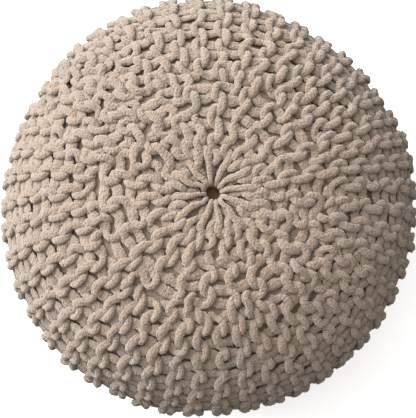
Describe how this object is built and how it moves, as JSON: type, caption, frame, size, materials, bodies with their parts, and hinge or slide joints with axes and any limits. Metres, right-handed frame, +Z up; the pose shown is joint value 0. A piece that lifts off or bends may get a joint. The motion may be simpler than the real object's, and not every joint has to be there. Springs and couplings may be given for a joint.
{
  "type": "knitted pouf",
  "caption": "Round floor pouf knitted from thick cotton cord, ridged purl side out, drawn together at a small hole in its crown, with a flat base.",
  "frame": {"origin": "on the floor, under the middle of the flat base", "axes": "+Z up through the hole in the crown; +Y points to the top of the picture and +X to its right"},
  "size_m": [0.4997, 0.4991, 0.3499],
  "materials": {
    "cotton_cord": "matt cotton cord about 7.6 mm thick, fluffy, warm greige",
    "inner_cover": "plain woven cotton, matt, taupe, seen between the stitches"
  },
  "bodies": {
    "root": {"knitted_pouf": "cotton_cord"}
  },
  "joints": []
}
